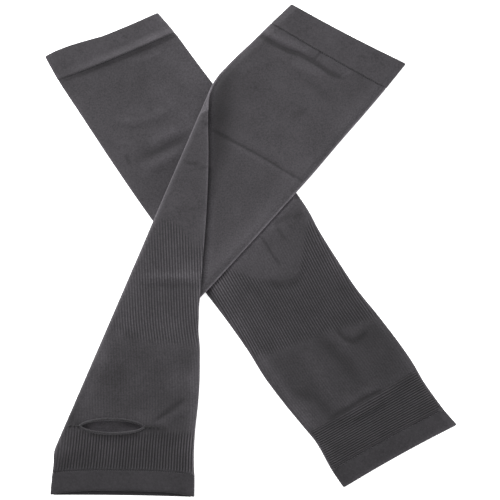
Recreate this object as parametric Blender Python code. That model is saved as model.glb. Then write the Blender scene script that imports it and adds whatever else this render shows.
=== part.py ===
"""Pair of knitted arm sleeves, lying flat and crossed.

Each sleeve is a flattened seamless tube with a turned welt at each end, a ribbed elbow
and a thumb slot with an overcast edge. The under sleeve lies straight on the surface.
The over sleeve crosses it and is folded once along a long diagonal, so that its lower
half lies on its upper half.

Sizes are in millimetres and become metres when the points are made. The origin is the
middle of the pair on the surface, +Y runs to the top openings and +Z points up.

A sleeve is described by three numbers: along (from its top opening to its wrist),
across (from its middle line, right side positive) and height (up through its layers).
"""

import bisect
import math
from typing import NamedTuple

import bmesh
import bpy
import numpy as np

MM = 0.001

# Cloth of both sleeves.
WALL = 1.1
POCKET = 0.4
TUBE = 2 * WALL + POCKET
WELT_RISE = 0.4
SEAM_GAP = 0.3
RIB_PITCH = 2.4
RIB_RISE = 0.3
EDGE_TURN = 1.3

# How the over sleeve lies on the under sleeve and on itself.
OVER_LIFT = TUBE + RIB_RISE + 0.3
DRAPE_START = 2.0
DRAPE_WIDTH = 26.0
FOLD_GAP = 0.5
CORNER_RISE = 3.0
CORNER_REACH = 100.0
DROP_START = 3.0
DROP_WIDTH = 24.0
TAIL_END = 375.0
TAIL_FADE = 20.0

# Spacing of the points that make up the cloth.
PLAIN_STEP = 14.0
ROLL_STEPS = 6
DROP_STEPS = 4

# The thumb slot, an opening shaped like a lens across the palm.
SLOT_LENGTH = 45.0
SLOT_WIDTH = 8.6
SLOT_SLANT = 0.035
BINDING_WIDTH = 1.7
BINDING_RISE = 0.6
SLOT_STEPS = 15
SLOT_FULLNESS = 0.25
CUTTER_REACH = 2.0

KNIT_COLOUR = (0.070, 0.067, 0.072, 1.0)
WELT_COLOUR = (0.062, 0.060, 0.064, 1.0)
BINDING_COLOUR = (0.082, 0.080, 0.084, 1.0)
KNIT_ROUGHNESS = 0.95


class Section(NamedTuple):
    """One cross-section: its place, its two half widths, and how far it slants and bows.

    The lip is what its visible layer bows more than the layer behind it.
    """

    along: float
    left: float
    right: float
    slant: float
    bow: float
    lip: float = 0.0


class Ridge(NamedTuple):
    """A soft buckle of a visible layer: its middle, size, direction and height."""

    along: float
    across: float
    length: float
    width: float
    turn: float
    rise: float


class Sleeve(NamedTuple):
    """Where a sleeve lies when it is spread out flat, with its sections."""

    top: tuple
    wrist: tuple
    top_seam: float
    wrist_seam: float
    end: float
    sections: tuple


UNDER = Sleeve(
    top=(-111.7, 161.7),
    wrist=(112.4, -154.6),
    top_seam=20.0,
    wrist_seam=372.0,
    end=387.6,
    sections=(
        Section(along=0.0, left=44.1, right=44.1, slant=0.25, bow=1.5),
        Section(along=20.0, left=45.8, right=45.9, slant=0.23, bow=0.8),
        Section(along=45.0, left=46.6, right=46.4, slant=0.21, bow=0.0),
        Section(along=70.0, left=47.5, right=47.1, slant=0.20, bow=0.0),
        Section(along=92.0, left=48.2, right=48.0, slant=0.19, bow=0.0),
        Section(along=125.0, left=48.9, right=49.2, slant=0.18, bow=0.0),
        Section(along=160.0, left=49.1, right=50.3, slant=0.15, bow=0.0),
        Section(along=188.0, left=48.9, right=50.7, slant=0.13, bow=0.0),
        Section(along=210.0, left=48.0, right=48.3, slant=0.11, bow=0.0),
        Section(along=235.0, left=46.7, right=46.9, slant=0.10, bow=0.0),
        Section(along=262.0, left=46.8, right=46.1, slant=0.10, bow=0.0),
        Section(along=285.0, left=48.2, right=47.6, slant=0.10, bow=0.0),
        Section(along=310.0, left=47.5, right=48.6, slant=0.10, bow=0.0),
        Section(along=330.0, left=46.1, right=48.7, slant=0.10, bow=0.0),
        Section(along=348.0, left=44.9, right=47.2, slant=0.11, bow=0.0),
        Section(along=372.0, left=47.4, right=46.6, slant=0.12, bow=-0.6),
        Section(along=387.6, left=47.9, right=47.9, slant=0.11, bow=-1.1),
    ),
)

OVER = Sleeve(
    top=(74.3, 162.1),
    wrist=(-208.5, -134.0),
    top_seam=22.5,
    wrist_seam=393.0,
    end=408.8,
    sections=(
        Section(along=0.0, left=46.2, right=46.2, slant=-0.29, bow=1.0),
        Section(along=22.5, left=47.2, right=48.2, slant=-0.25, bow=0.5),
        Section(along=45.0, left=47.9, right=49.7, slant=-0.20, bow=0.0),
        Section(along=70.0, left=49.0, right=51.0, slant=-0.12, bow=0.0),
        Section(along=95.0, left=48.8, right=52.8, slant=0.0, bow=0.0),
        Section(along=120.0, left=46.9, right=53.5, slant=0.0, bow=0.0),
        Section(along=150.0, left=48.2, right=54.4, slant=0.0, bow=0.0),
        Section(along=180.0, left=48.4, right=55.1, slant=0.0, bow=0.0),
        Section(along=210.0, left=48.0, right=55.8, slant=0.0, bow=0.0),
        Section(along=245.0, left=47.2, right=55.7, slant=0.0, bow=0.0),
        Section(along=277.0, left=46.9, right=55.8, slant=0.0, bow=0.0),
        Section(along=300.0, left=49.1, right=55.8, slant=0.0, bow=0.0),
        Section(along=330.0, left=50.0, right=55.8, slant=0.0, bow=0.0),
        Section(along=360.0, left=48.6, right=55.6, slant=0.0, bow=0.0),
        Section(along=376.0, left=48.7, right=55.7, slant=0.02, bow=-0.3, lip=-1.2),
        Section(along=393.0, left=50.0, right=56.0, slant=0.04, bow=-0.6, lip=-2.5),
        Section(along=408.8, left=50.6, right=56.6, slant=0.04, bow=-0.6, lip=-2.6),
    ),
)

# The fold of the over sleeve shows as a straight outline between these two places.
FOLD_TOP = (-28.0, 123.8)
FOLD_BOTTOM = (-149.2, -156.2)

# Below the fold the over sleeve comes down past the edge of its own upper half.
EDGE_TOP = (34.4, 43.0)
EDGE_BOTTOM = (-147.5, -156.2)

# Ribbed zones: at each place across the sleeve, where the ribs begin and end along it.
UNDER_ELBOW_START = (
    (-48.0, 190.0), (-35.0, 192.0), (-22.0, 202.0), (-12.0, 214.0), (-3.0, 230.0),
    (10.0, 234.0), (21.0, 227.0), (34.0, 217.0), (44.0, 205.0), (48.0, 191.0),
)
UNDER_ELBOW_END = ((-46.0, 269.0), (-27.0, 274.0), (0.0, 278.0), (32.0, 285.0), (46.0, 288.0))
OVER_ELBOW_START = (
    (-48.0, 218.0), (-41.0, 220.0), (-32.0, 210.0), (-25.0, 202.5), (-17.0, 201.0),
    (-6.0, 204.0), (4.0, 212.0),
)
OVER_ELBOW_END = ((-48.0, 294.0), (-12.0, 293.5), (2.0, 291.5), (16.0, 286.5), (40.0, 284.0))
OVER_PALM_START = ((-50.0, 362.0), (-25.0, 364.0), (11.0, 367.0), (40.0, 362.0), (54.0, 360.0))
OVER_PALM_END = ((-50.0, 388.0), (0.0, 386.5), (50.0, 390.0))
RIB_FADE = 5.0

# The lengths of sleeve that hold the ribs, and the turn over which the fold takes them in.
UNDER_ELBOW_SPAN = (180.0, 295.0)
OVER_ELBOW_SPAN = (195.0, 300.0)
OVER_PALM_SPAN = (356.0, 400.0)
RIB_TURN_FADE = 0.6

# Sections of each body: stretches of (from, to, number of steps).
UNDER_STRETCHES = (
    (20.15, 70.0, 3), (70.0, 115.0, 5), (115.0, 183.0, 4), (183.0, 292.0, 12),
    (292.0, 328.0, 4), (328.0, 371.85, 3),
)
OVER_STRETCHES = (
    (22.65, 90.0, 6), (90.0, 132.0, 7), (132.0, 198.0, 7), (198.0, 300.0, 11),
    (300.0, 356.0, 5), (356.0, 392.85, 6),
)
WELT_STEPS = 3

# Middle of each thumb slot, along and across its sleeve.
UNDER_SLOT = (338.0, 6.0)
OVER_SLOT = (357.8, 13.8)

UNDER_RIDGES = (
    Ridge(along=84.0, across=-4.0, length=70.0, width=11.0, turn=79.0, rise=0.5),
    Ridge(along=103.0, across=-10.0, length=62.0, width=11.0, turn=80.0, rise=0.45),
    Ridge(along=216.0, across=14.0, length=46.0, width=13.0, turn=-14.0, rise=0.6),
    Ridge(along=312.0, across=-14.0, length=52.0, width=11.0, turn=12.0, rise=0.7),
    Ridge(along=318.0, across=12.0, length=60.0, width=12.0, turn=-6.0, rise=0.8),
    Ridge(along=302.0, across=31.0, length=36.0, width=10.0, turn=70.0, rise=0.5),
)
OVER_UPPER_RIDGES = (
    Ridge(along=106.0, across=18.0, length=86.0, width=12.0, turn=77.0, rise=0.5),
    Ridge(along=30.0, across=0.0, length=88.0, width=7.0, turn=75.0, rise=0.5),
)
OVER_LOWER_RIDGES = (
    Ridge(along=326.0, across=-26.0, length=46.0, width=12.0, turn=-24.0, rise=0.7),
    Ridge(along=240.0, across=-24.0, length=44.0, width=10.0, turn=88.0, rise=0.5),
    Ridge(along=336.0, across=14.0, length=50.0, width=12.0, turn=30.0, rise=0.5),
    Ridge(along=358.0, across=13.8, length=90.0, width=26.0, turn=88.0, rise=1.2),
)


def soft_step(value):
    """0 before 0, 1 after 1, and a smooth rise between them."""
    t = min(max(value, 0.0), 1.0)
    return t * t * (3 - 2 * t)


def table_value(pairs, at):
    """Straight-line reading of a short table of (place, value) rows."""
    places = [place for place, _ in pairs]
    values = [value for _, value in pairs]
    return float(np.interp(at, places, values))


def section_at(sleeve, along):
    """Smooth reading of a sleeve's section table at any place along it."""
    rows = sleeve.sections
    places = [row.along for row in rows]
    i = min(max(bisect.bisect_right(places, along) - 1, 0), len(rows) - 2)
    before = rows[max(i - 1, 0)]
    start = rows[i]
    end = rows[i + 1]
    after = rows[min(i + 2, len(rows) - 1)]
    span = end.along - start.along
    t = min(max((along - start.along) / span, 0.0), 1.0)
    values = []
    for p0, p1, p2, p3 in zip(before[1:], start[1:], end[1:], after[1:]):
        slope_in = (p2 - p0) / (end.along - before.along) * span
        slope_out = (p3 - p1) / (after.along - start.along) * span
        hermite = (
            p1 * (2 * t**3 - 3 * t**2 + 1)
            + slope_in * (t**3 - 2 * t**2 + t)
            + p2 * (3 * t**2 - 2 * t**3)
            + slope_out * (t**3 - t**2)
        )
        values.append(hermite)
    return Section(along, *values)


def sleeve_axes(sleeve):
    """Top middle, direction along and direction across, on the surface."""
    top = np.array(sleeve.top)
    run = np.array(sleeve.wrist) - top
    run = run / np.linalg.norm(run)
    return top, run, np.array([-run[1], run[0]])


def spread_out(sleeve, along, across, visible=0.0):
    """Place on the surface of a point of the sleeve, before it is folded."""
    section = section_at(sleeve, along)
    half = section.right if across > 0 else section.left
    bowed = (section.bow + section.lip * visible) * (1 - (across / half) ** 2)
    top, run, side = sleeve_axes(sleeve)
    return top + run * (along + section.slant * across + bowed) + side * across


def buckle(ridges, along, across):
    """How far the soft ridges raise a layer at one place."""
    rise = 0.0
    for ridge in ridges:
        turn = math.radians(ridge.turn)
        down = along - ridge.along
        side = across - ridge.across
        lengthwise = down * math.cos(turn) + side * math.sin(turn)
        widthwise = side * math.cos(turn) - down * math.sin(turn)
        fade = 1 - soft_step(abs(lengthwise) / (ridge.length / 2))
        rise += ridge.rise * fade * math.exp(-((widthwise / (ridge.width / 2)) ** 2))
    return rise


def under_place(along, across, height):
    """A point of the under sleeve, which lies straight on the surface."""
    x, y = spread_out(UNDER, along, across)
    layer = soft_step((height - WALL) / POCKET)
    return x, y, height + layer * buckle(UNDER_RIDGES, along, across)


def outside_under_sleeve(x, y):
    """Distance outside the under sleeve's two long edges, negative within."""
    top, run, side = sleeve_axes(UNDER)
    offset = np.array([x, y]) - top
    across = offset @ side
    section = section_at(UNDER, offset @ run - section_at(UNDER, offset @ run).slant * across)
    return max(-across - section.left, across - section.right)


def lift_over_under(x, y):
    """How far the over sleeve is carried up by the under sleeve."""
    reach = (outside_under_sleeve(x, y) - DRAPE_START) / DRAPE_WIDTH
    return OVER_LIFT * (1 - soft_step(reach))


def fold_axes():
    """Top of the fold, direction along it, and direction out past it."""
    top = np.array(FOLD_TOP)
    run = np.array(FOLD_BOTTOM) - top
    run = run / np.linalg.norm(run)
    return top, run, np.array([run[1], -run[0]])


def fold_reading(along, across, visible=0.0):
    """Where a point of the spread sleeve lies on the fold: down it, past it, and the roll."""
    top, run, out = fold_axes()
    offset = spread_out(OVER, along, across, visible) - top
    down = offset @ run
    corner = CORNER_RISE * (1 - soft_step(down / CORNER_REACH))
    middle = TUBE + (FOLD_GAP + corner) / 2
    return down, offset @ out + middle, middle


def past_own_edge(x, y):
    """Distance past the edge of the over sleeve's own upper half."""
    top = np.array(EDGE_TOP)
    run = np.array(EDGE_BOTTOM) - top
    run = run / np.linalg.norm(run)
    return (np.array([x, y]) - top) @ np.array([-run[1], run[0]])


def over_place(along, across, height):
    """A point of the over sleeve: flat, then round the fold, then flat on its own upper half."""
    top, run, out = fold_axes()
    visible = soft_step((WALL + POCKET - height) / POCKET)
    down, past, middle = fold_reading(along, across, visible)
    roll = middle - TUBE / 2
    turned = min(max(past / roll, 0.0), math.pi)
    if height > TUBE / 2:
        buckled = buckle(OVER_UPPER_RIDGES, along, across) * (turned <= 0)
    else:
        buckled = -buckle(OVER_LOWER_RIDGES, along, across) * (turned >= math.pi)
    height += buckled
    if turned <= 0:
        sideways, z = past, height
    elif turned < math.pi:
        sideways = (middle - height) * math.sin(turned)
        z = middle - (middle - height) * math.cos(turned)
    else:
        sideways, z = math.pi * roll - past, 2 * middle - height
    x, y = top + run * down + out * (sideways - middle)
    folded = (1 - math.cos(turned)) / 2
    held_by_edge = 1 - soft_step((past_own_edge(x, y) - DROP_START) / DROP_WIDTH)
    held_by_tail = 1 - soft_step((along - TAIL_END) / TAIL_FADE)
    drop = (1 - held_by_edge * held_by_tail) * (2 * middle - TUBE)
    z += lift_over_under(x, y) - folded * drop
    return x, y, z


def rib_height(start, end, along, across):
    """Height of the ribs at one place: whole inside their zone, fading at its rims."""
    into = along - table_value(start, across)
    left_over = table_value(end, across) - along
    fade = soft_step(0.5 + min(into, left_over) / RIB_FADE)
    peak = round(across / (RIB_PITCH / 2)) % 2
    return RIB_RISE * fade * peak


def steps_between(low, high, step, margin):
    """Multiples of a step between two places, keeping clear of both."""
    first = math.ceil((low + margin) / step)
    last = math.floor((high - margin) / step)
    return [k * step for k in range(first, last + 1)]


def crossing(reading, target):
    """Where across the sleeve a straight-line reading has the target value."""
    at_zero = reading(0.0)
    return (target - at_zero) / (reading(1.0) - at_zero)


def back_of_edge(along, across):
    """How far a point of the turned-down half lies past the edge of the upper half."""
    top, run, out = fold_axes()
    down, past, middle = fold_reading(along, across)
    x, y = top + run * down + out * (math.pi * (middle - TUBE / 2) - past - middle)
    return past_own_edge(x, y)


def fold_breaks(along):
    """Where one section of the over sleeve meets its drop and its fold, from left to right."""

    def past_fold(across):
        return fold_reading(along, across)[1]

    def past_edge(across):
        return back_of_edge(along, across)

    middle = fold_reading(along, crossing(past_fold, 0.0))[2]
    roll_width = math.pi * (middle - TUBE / 2)
    drop = [
        crossing(past_edge, DROP_START + DROP_WIDTH * (1 - k / DROP_STEPS))
        for k in range(DROP_STEPS + 1)
    ]
    roll = [crossing(past_fold, roll_width * (1 - k / ROLL_STEPS)) for k in range(ROLL_STEPS + 1)]
    return drop, roll


def layer_runs(along, low, high, breaks, ribs):
    """Places across one layer, in runs from left to right, each as (key, other key, across).

    The first key matches ribbed sections, and the second one the sections between them.
    """
    step = RIB_PITCH / 2 if ribs else PLAIN_STEP
    margin = RIB_PITCH / 4 if ribs else PLAIN_STEP / 4
    if not breaks:
        return [[(q, q, q) for q in [low] + steps_between(low, high, step, margin)]]
    drop, roll = breaks
    roll = [min(max(place, low), high) for place in roll]
    places = steps_between(low, roll[0], step, margin)
    if not ribs:
        kept = [place for place in drop if low + 0.5 < place < roll[0] - 0.5]
        places = [q for q in places if all(abs(q - place) > margin for place in kept)]
        places = sorted(places + kept)
    beyond = steps_between(roll[-1], high, PLAIN_STEP, PLAIN_STEP / 4)
    return [
        [(q, -back_of_edge(along, q), q) for q in [low] + places],
        [(k, k, q) for k, q in enumerate(roll[:-1])],
        [(q, q, q) for q in [roll[-1]] + beyond],
    ]


def edge_turn(start, reach, middle, half, shares):
    """The rounded long edge of the tube, as entries that follow a layer."""
    entries = [((0.0, 0.0), start, middle - half)]
    for share in shares:
        angle = math.pi * share
        across = start + reach * math.sin(angle)
        entries.append(((share, share), across, middle - half * math.cos(angle)))
    return entries


def ring_runs(section, bottom, top, inset, breaks, rib_rows):
    """The points round one section, as runs of ((key, other key), across, height).

    The ring goes along the lower layer from left to right, round the right edge, back
    along the upper layer and round the left edge. rib_rows holds a height function for
    the lower and the upper layer, or None where that layer is plain.
    """
    half = (top - bottom) / 2
    middle = (bottom + top) / 2
    turn = min(EDGE_TURN, half)
    left = -section.left + inset + turn
    right = section.right - inset - turn
    arc = (0.25, 0.5, 0.75) if inset == 0 else (0.5,)
    rib_low, rib_high = rib_rows
    runs = []
    for run in layer_runs(section.along, left, right, breaks, rib_low is not None):
        runs.append([((a, b), q, bottom - (rib_low(q) if rib_low else 0.0)) for a, b, q in run])
    runs.append(edge_turn(right, turn, middle, half, arc))
    upper = layer_runs(section.along, left, right, breaks, rib_high is not None)
    starts = [run[0] for run in upper[1:]] + [(right, right, right)]
    for run, start in zip(reversed(upper), reversed(starts)):
        row = []
        for a, b, q in [start] + list(reversed(run[1:])):
            row.append(((-a, -b), q, top + (rib_high(q) if rib_high else 0.0)))
        runs.append(row)
    runs.append(edge_turn(left, -turn, middle, -half, arc))
    return runs


def add_ring(bm, place, along, runs):
    """Makes a ring's vertices. Places that coincide share one vertex."""
    made = []
    first = last = None
    last_spot = None
    for run in runs:
        row = []
        for keys, across, height in run:
            spot = (round(across, 4), round(height, 4))
            if spot != last_spot:
                x, y, z = place(along, across, height)
                last = bm.verts.new((x * MM, y * MM, z * MM))
                last_spot = spot
                first = first or last
            row.append((keys, last))
        made.append(row)
    for i, row in enumerate(made):
        following = made[i + 1][0][1] if i + 1 < len(made) else first
        row.append(((math.inf, math.inf), following))
    return made


def zip_rings(bm, ring_a, ring_b, which):
    """Joins two rings, run by run, with triangles that keep to points with like keys."""
    for row_a, row_b in zip(ring_a, ring_b):
        i = j = 0
        while i < len(row_a) - 1 or j < len(row_b) - 1:
            key_a = row_a[i + 1][0][which] if i < len(row_a) - 1 else math.inf
            key_b = row_b[j + 1][0][which] if j < len(row_b) - 1 else math.inf
            step_a = i < len(row_a) - 1 and (key_a <= key_b or j == len(row_b) - 1)
            if step_a:
                corners = (row_a[i][1], row_a[i + 1][1], row_b[j][1])
                i += 1
            else:
                corners = (row_a[i][1], row_b[j + 1][1], row_b[j][1])
                j += 1
            if len(set(corners)) == 3:
                bm.faces.new(corners)


def tube_mesh(sleeve, place, stations, low, high, breaks_at, ribs_at):
    """An open-ended flattened tube with a real wall, lofted through its stations."""
    bm = bmesh.new()
    outer_rings = []
    inner_rings = []
    ribbed = []
    for along in stations:
        section = section_at(sleeve, along)
        breaks = breaks_at(along)
        ribs = ribs_at(along)
        outer = ring_runs(section, low, high, 0.0, breaks, ribs)
        inner = ring_runs(section, WALL, WALL + POCKET, WALL, breaks, (None, None))
        outer_rings.append(add_ring(bm, place, along, outer))
        inner_rings.append(add_ring(bm, place, along, inner))
        ribbed.append(ribs != (None, None))
    for k in range(len(stations) - 1):
        which = 0 if ribbed[k] and ribbed[k + 1] else 1
        zip_rings(bm, outer_rings[k], outer_rings[k + 1], which)
        zip_rings(bm, inner_rings[k], inner_rings[k + 1], 1)
    for end in (0, -1):
        zip_rings(bm, outer_rings[end], inner_rings[end], 1)
    bmesh.ops.recalc_face_normals(bm, faces=bm.faces)
    return bm


def knit_material(name, colour):
    """Matt knitted yarn in one colour."""
    material = bpy.data.materials.new(name)
    material.use_nodes = True
    shader = material.node_tree.nodes["Principled BSDF"]
    shader.inputs["Base Color"].default_value = colour
    shader.inputs["Roughness"].default_value = KNIT_ROUGHNESS
    shader.inputs["Metallic"].default_value = 0.0
    material.diffuse_color = colour
    return material


def add_object(bm, name, collection, material):
    """Turns a bmesh into a named object in a collection."""
    mesh = bpy.data.meshes.new(name)
    bm.to_mesh(mesh)
    bm.free()
    if material:
        mesh.materials.append(material)
    thing = bpy.data.objects.new(name, mesh)
    collection.objects.link(thing)
    return thing


def plain_rows(along):
    """No ribs on either layer."""
    return None, None


def no_breaks(along):
    """A section that lies flat has no fold in it."""
    return None


def under_ribs(along):
    """Ribs of the under sleeve's visible upper layer, at its elbow."""
    if not UNDER_ELBOW_SPAN[0] < along < UNDER_ELBOW_SPAN[1]:
        return None, None
    return None, lambda across: rib_height(UNDER_ELBOW_START, UNDER_ELBOW_END, along, across)


def over_ribs(along):
    """Ribs of the over sleeve's lower layer, which the fold turns up."""
    if OVER_ELBOW_SPAN[0] < along < OVER_ELBOW_SPAN[1]:
        start, end = OVER_ELBOW_START, OVER_ELBOW_END
    elif OVER_PALM_SPAN[0] < along < OVER_PALM_SPAN[1]:
        start, end = OVER_PALM_START, OVER_PALM_END
    else:
        return None, None

    def height(across):
        down, past, middle = fold_reading(along, across)
        on_top = soft_step((past / (middle - TUBE / 2) - math.pi) / RIB_TURN_FADE)
        return on_top * rib_height(start, end, along, across)

    return height, None


def station_list(*stretches):
    """Stations for a loft, from stretches of (from, to, number of steps)."""
    stations = []
    for start, end, steps in stretches:
        stations += [start + (end - start) * k / steps for k in range(steps)]
    return stations + [stretches[-1][1]]


def lens_outline(centre, extra):
    """Outline of a thumb slot as (along, across) places, larger by extra all round."""
    half_length = SLOT_LENGTH / 2 + extra
    half_width = SLOT_WIDTH / 2 + extra
    outline = []
    for k in range(2 * SLOT_STEPS):
        angle = math.pi * k / SLOT_STEPS
        across = centre[1] + half_length * math.cos(angle)
        bulge = half_width * math.sin(angle) * abs(math.sin(angle)) ** SLOT_FULLNESS
        along = centre[0] + SLOT_SLANT * (across - centre[1]) + bulge
        outline.append((along, across))
    return outline


def slot_cutter(place, centre, name, collection):
    """A closed lens-shaped prism from outside one layer to the middle of the pocket."""
    extra = BINDING_WIDTH + SEAM_GAP
    bm = bmesh.new()
    outline = lens_outline(centre, extra)
    rings = []
    hubs = []
    for levels in ((-CUTTER_REACH, -CUTTER_REACH), (WALL, WALL + POCKET)):
        ring = []
        for along, across in outline + [centre]:
            spots = np.array([place(along, across, height) for height in levels])
            ring.append(bm.verts.new(spots.mean(axis=0) * MM))
        hubs.append(ring.pop())
        rings.append(ring)
    count = len(outline)
    for k in range(count):
        after = (k + 1) % count
        bm.faces.new((rings[0][k], rings[0][after], rings[1][after], rings[1][k]))
        for ring, hub in zip(rings, hubs):
            bm.faces.new((ring[k], ring[after], hub))
    bmesh.ops.recalc_face_normals(bm, faces=bm.faces)
    cutter = add_object(bm, name, collection, None)
    cutter.hide_render = True
    cutter.display_type = "WIRE"
    return cutter


def cut_slot(body, cutter):
    """Cuts the thumb slot into one layer of a sleeve's body."""
    cut = body.modifiers.new("thumb_slot", "BOOLEAN")
    cut.operation = "DIFFERENCE"
    cut.solver = "EXACT"
    cut.object = cutter


def binding_mesh(place, centre, inner, outer):
    """The overcast edge of a thumb slot: a rounded band that follows the lens."""
    bm = bmesh.new()
    middle = (inner + outer) / 2
    half_height = abs(outer - inner) / 2
    profile = [math.radians(angle) for angle in range(0, 360, 60)]
    rings = []
    stations = len(lens_outline(centre, 0.0))
    for k in range(stations):
        ring = []
        for angle in profile:
            extra = BINDING_WIDTH / 2 * (1 + math.cos(angle))
            along, across = lens_outline(centre, extra)[k]
            x, y, z = place(along, across, middle + half_height * math.sin(angle))
            ring.append(bm.verts.new((x * MM, y * MM, z * MM)))
        rings.append(ring)
    for k in range(stations):
        ring_a = rings[k]
        ring_b = rings[(k + 1) % stations]
        for i in range(len(profile)):
            after = (i + 1) % len(profile)
            bm.faces.new((ring_a[i], ring_a[after], ring_b[after], ring_b[i]))
    bmesh.ops.recalc_face_normals(bm, faces=bm.faces)
    return bm


def build_under_sleeve(collection, cutters, knit, welt, binding):
    """The sleeve that lies straight on the surface, with its slot on the side that is down."""
    half_gap = SEAM_GAP / 2
    stations = station_list(*UNDER_STRETCHES)
    mesh = tube_mesh(UNDER, under_place, stations, 0.0, TUBE, no_breaks, under_ribs)
    body = add_object(mesh, "under_sleeve_body", collection, knit)
    cutter = slot_cutter(under_place, UNDER_SLOT, "under_slot_cutter", cutters)
    cut_slot(body, cutter)
    edge = binding_mesh(under_place, UNDER_SLOT, WALL, 0.0)
    add_object(edge, "under_sleeve_thumb_binding", collection, binding)
    ends = (
        ("under_sleeve_top_welt", (0.0, UNDER.top_seam - half_gap, WELT_STEPS)),
        ("under_sleeve_wrist_welt", (UNDER.wrist_seam + half_gap, UNDER.end, WELT_STEPS)),
    )
    for name, stretch in ends:
        high = TUBE + WELT_RISE
        rings = station_list(stretch)
        mesh = tube_mesh(UNDER, under_place, rings, 0.0, high, no_breaks, plain_rows)
        add_object(mesh, name, collection, welt)


def build_over_sleeve(collection, cutters, knit, welt, binding):
    """The sleeve that crosses over and folds along the diagonal."""
    half_gap = SEAM_GAP / 2
    stations = station_list(*OVER_STRETCHES)
    mesh = tube_mesh(OVER, over_place, stations, 0.0, TUBE, fold_breaks, over_ribs)
    body = add_object(mesh, "over_sleeve_body", collection, knit)
    cutter = slot_cutter(over_place, OVER_SLOT, "over_slot_cutter", cutters)
    cut_slot(body, cutter)
    edge = binding_mesh(over_place, OVER_SLOT, WALL, -BINDING_RISE)
    add_object(edge, "over_sleeve_thumb_binding", collection, binding)
    top_stretch = (0.0, OVER.top_seam - half_gap, WELT_STEPS)
    wrist_stretch = (OVER.wrist_seam + half_gap, OVER.end, WELT_STEPS)
    ends = (
        ("over_sleeve_top_welt", top_stretch, 0.0, TUBE + WELT_RISE),
        ("over_sleeve_wrist_welt", wrist_stretch, -WELT_RISE, TUBE),
    )
    for name, stretch, low, high in ends:
        rings = station_list(stretch)
        mesh = tube_mesh(OVER, over_place, rings, low, high, fold_breaks, plain_rows)
        add_object(mesh, name, collection, welt)


def clear_scene():
    """Removes whatever the file holds before the sleeves are made."""
    for thing in list(bpy.data.objects):
        bpy.data.objects.remove(thing, do_unlink=True)
    for collection in list(bpy.data.collections):
        bpy.data.collections.remove(collection)


def new_collection(name):
    """A collection linked to the scene."""
    collection = bpy.data.collections.new(name)
    bpy.context.scene.collection.children.link(collection)
    return collection


def main():
    """Builds both sleeves."""
    clear_scene()
    sleeves = new_collection("arm_sleeves")
    cutters = new_collection("cutters")
    knit = knit_material("knit", KNIT_COLOUR)
    welt = knit_material("welt_knit", WELT_COLOUR)
    binding = knit_material("binding_yarn", BINDING_COLOUR)
    build_under_sleeve(sleeves, cutters, knit, welt, binding)
    build_over_sleeve(sleeves, cutters, knit, welt, binding)


main()
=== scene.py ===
import math

import bmesh
import bpy
import numpy as np
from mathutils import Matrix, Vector


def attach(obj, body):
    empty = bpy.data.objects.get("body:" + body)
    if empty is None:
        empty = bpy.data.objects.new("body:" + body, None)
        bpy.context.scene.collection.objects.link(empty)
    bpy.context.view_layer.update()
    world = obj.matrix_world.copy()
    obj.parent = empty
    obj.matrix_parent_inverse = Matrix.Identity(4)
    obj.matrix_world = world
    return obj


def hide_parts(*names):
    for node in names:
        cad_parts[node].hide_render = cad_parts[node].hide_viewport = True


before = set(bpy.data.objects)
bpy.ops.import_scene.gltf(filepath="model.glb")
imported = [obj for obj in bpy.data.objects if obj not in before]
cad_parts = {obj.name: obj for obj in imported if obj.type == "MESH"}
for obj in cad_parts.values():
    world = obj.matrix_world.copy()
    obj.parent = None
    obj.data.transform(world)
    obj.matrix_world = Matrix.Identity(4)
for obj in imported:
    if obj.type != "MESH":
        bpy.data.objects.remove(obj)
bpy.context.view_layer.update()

MM = 0.001

# The pair lies flat on a white table and is seen from straight above, as in the photograph.
# Soft panels stand low round it, the strongest beyond the top left. The room is white and the
# table is faintly lit from below, so that it shows no shadow.
VIEW_WIDTH = 0.375
CAMERA_HEIGHT = 2.2
CAMERA_OFF = 0.00015
SENSOR_WIDTH = 36.0
# Columns: place, size and power of each panel.
PANELS = (
    ((-0.52, 1, 0.6), 0.8, 34),
    ((-1.1, 0.15, 0.45), 0.55, 10),
    ((1.1, -0.1, 0.26), 0.6, 8),
    ((0.8, -0.85, 0.24), 0.6, 14),
)
WHITE = (1.0, 1.0, 1.0, 1.0)
ROOM_LIGHT = 0.46
TABLE_COLOUR = (0.96, 0.96, 0.96, 1.0)
TABLE_GLOW = 0.6
TABLE_HALF = 3000
TABLE_SINK = 0.05
MATT = 0.9


def shader_material(name, colour, roughness):
    """A material with its main shader's colour and roughness set."""
    material = bpy.data.materials.new(name)
    material.use_nodes = True
    shader = material.node_tree.nodes["Principled BSDF"]
    shader.inputs["Base Color"].default_value = colour
    shader.inputs["Roughness"].default_value = roughness
    material.diffuse_color = colour
    return material, shader


def add_object(name, data):
    """A new object in the scene."""
    thing = bpy.data.objects.new(name, data)
    bpy.context.scene.collection.objects.link(thing)
    return thing


def mesh_object(name, points, faces, material=None, edges=()):
    """A new object in the scene from points in millimetres."""
    mesh = bpy.data.meshes.new(name)
    mesh.from_pydata((np.asarray(points, dtype=float) * MM).tolist(), edges, faces)
    if material:
        mesh.materials.append(material)
    mesh.shade_smooth()
    return add_object(name, mesh)


camera = add_object("camera", bpy.data.cameras.new("camera"))
camera.data.sensor_width = SENSOR_WIDTH
camera.data.lens = SENSOR_WIDTH * CAMERA_HEIGHT / VIEW_WIDTH
camera.location = (-CAMERA_OFF, CAMERA_OFF, CAMERA_HEIGHT)
bpy.context.scene.camera = camera

for place, size, power in PANELS:
    panel = add_object("soft_panel", bpy.data.lights.new("soft_panel", "AREA"))
    panel.data.shape = "DISK"
    panel.data.size = size
    panel.data.energy = power
    panel.location = place
    panel.rotation_euler = Vector(place).to_track_quat("Z", "Y").to_euler()

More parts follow.
